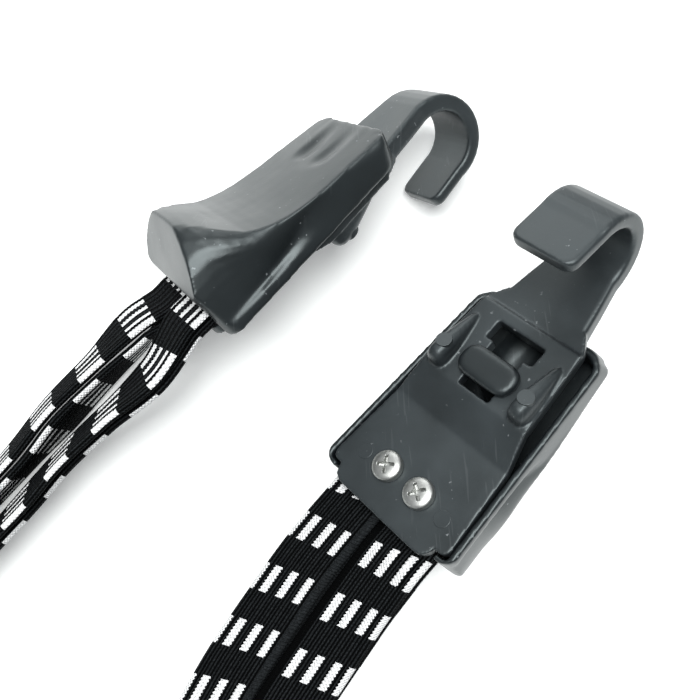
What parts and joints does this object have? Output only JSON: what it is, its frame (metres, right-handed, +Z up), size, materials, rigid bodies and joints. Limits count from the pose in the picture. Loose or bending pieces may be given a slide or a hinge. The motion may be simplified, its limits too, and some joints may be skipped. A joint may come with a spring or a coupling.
{
  "type": "luggage rack strap",
  "caption": "Elastic strap for a luggage rack: flat woven elastic bands in a loose loop between two moulded hook ends with screwed-on covers.",
  "frame": {"origin": "on the table, under the middle of the box round the two hook ends", "axes": "+Z up from the table, +X to the right of the picture, +Y away from its foot; both hooks point towards +X and +Y"},
  "size_m": [0.2097, 0.2422, 0.0524],
  "materials": {
    "cover_plastic": "satin moulded plastic with fine scuffs",
    "plate_plastic": "satin moulded plastic",
    "zinc_steel": "bright zinc plate",
    "woven_elastic": "ribbed black weave with rows of white dashes"
  },
  "bodies": {
    "root": {"left_cover": "cover_plastic", "left_hook_plate": "plate_plastic", "left_screw_1": "zinc_steel", "left_screw_2": "zinc_steel", "right_cover": "cover_plastic", "right_hook_plate": "plate_plastic", "right_screw_1": "zinc_steel", "right_screw_2": "zinc_steel", "outer_band_cover_side": "woven_elastic", "outer_band_plate_side": "woven_elastic", "inner_band_cover_side": "woven_elastic", "inner_band_plate_side": "woven_elastic"}
  },
  "joints": []
}
